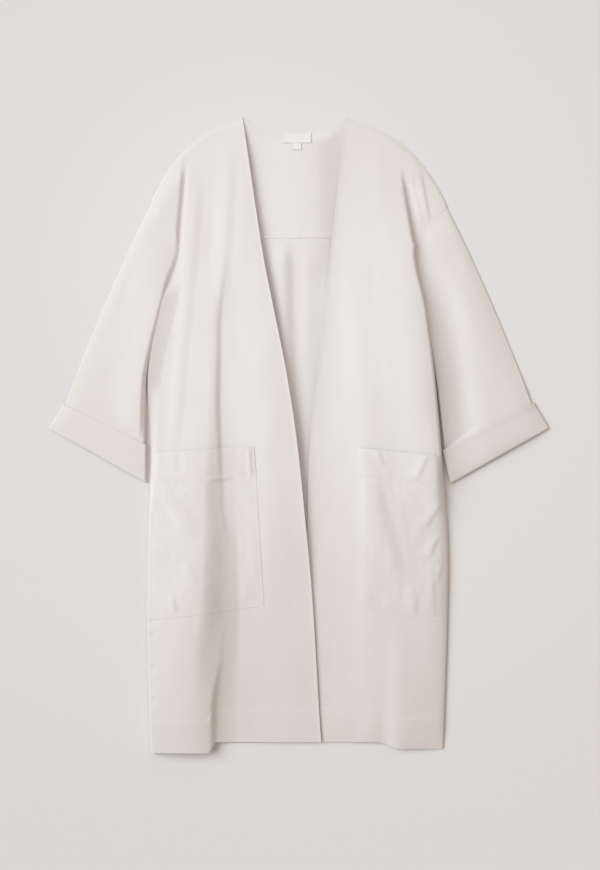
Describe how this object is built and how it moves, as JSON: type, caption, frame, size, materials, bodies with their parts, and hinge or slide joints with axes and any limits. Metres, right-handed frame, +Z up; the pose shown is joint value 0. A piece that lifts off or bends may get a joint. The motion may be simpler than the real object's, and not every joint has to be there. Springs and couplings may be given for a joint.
{
  "type": "collarless overcoat",
  "caption": "Open-front collarless overcoat laid flat face up, with dropped shoulders, turned-back cuffs, patch pockets and a back yoke.",
  "frame": {"origin": "middle of the laid coat's outline, on the surface it rests on", "axes": "+X towards the wearer's left, +Y towards the neck, +Z up out of the front"},
  "size_m": [0.8342, 1.0581, 0.0228],
  "materials": {
    "cloth": "matt plain-weave linen and cotton cloth, warm off-white",
    "label": "smooth white woven tape"
  },
  "bodies": {
    "root": {"back": "cloth", "back_yoke": "cloth", "front_right": "cloth", "front_left": "cloth", "sleeve_right_upper": "cloth", "sleeve_right_under": "cloth", "sleeve_left_upper": "cloth", "sleeve_left_under": "cloth", "cuff_right_upper": "cloth", "cuff_right_under": "cloth", "cuff_left_upper": "cloth", "cuff_left_under": "cloth", "pocket_right": "cloth", "pocket_left": "cloth", "label": "label", "size_tab": "label"}
  },
  "joints": []
}
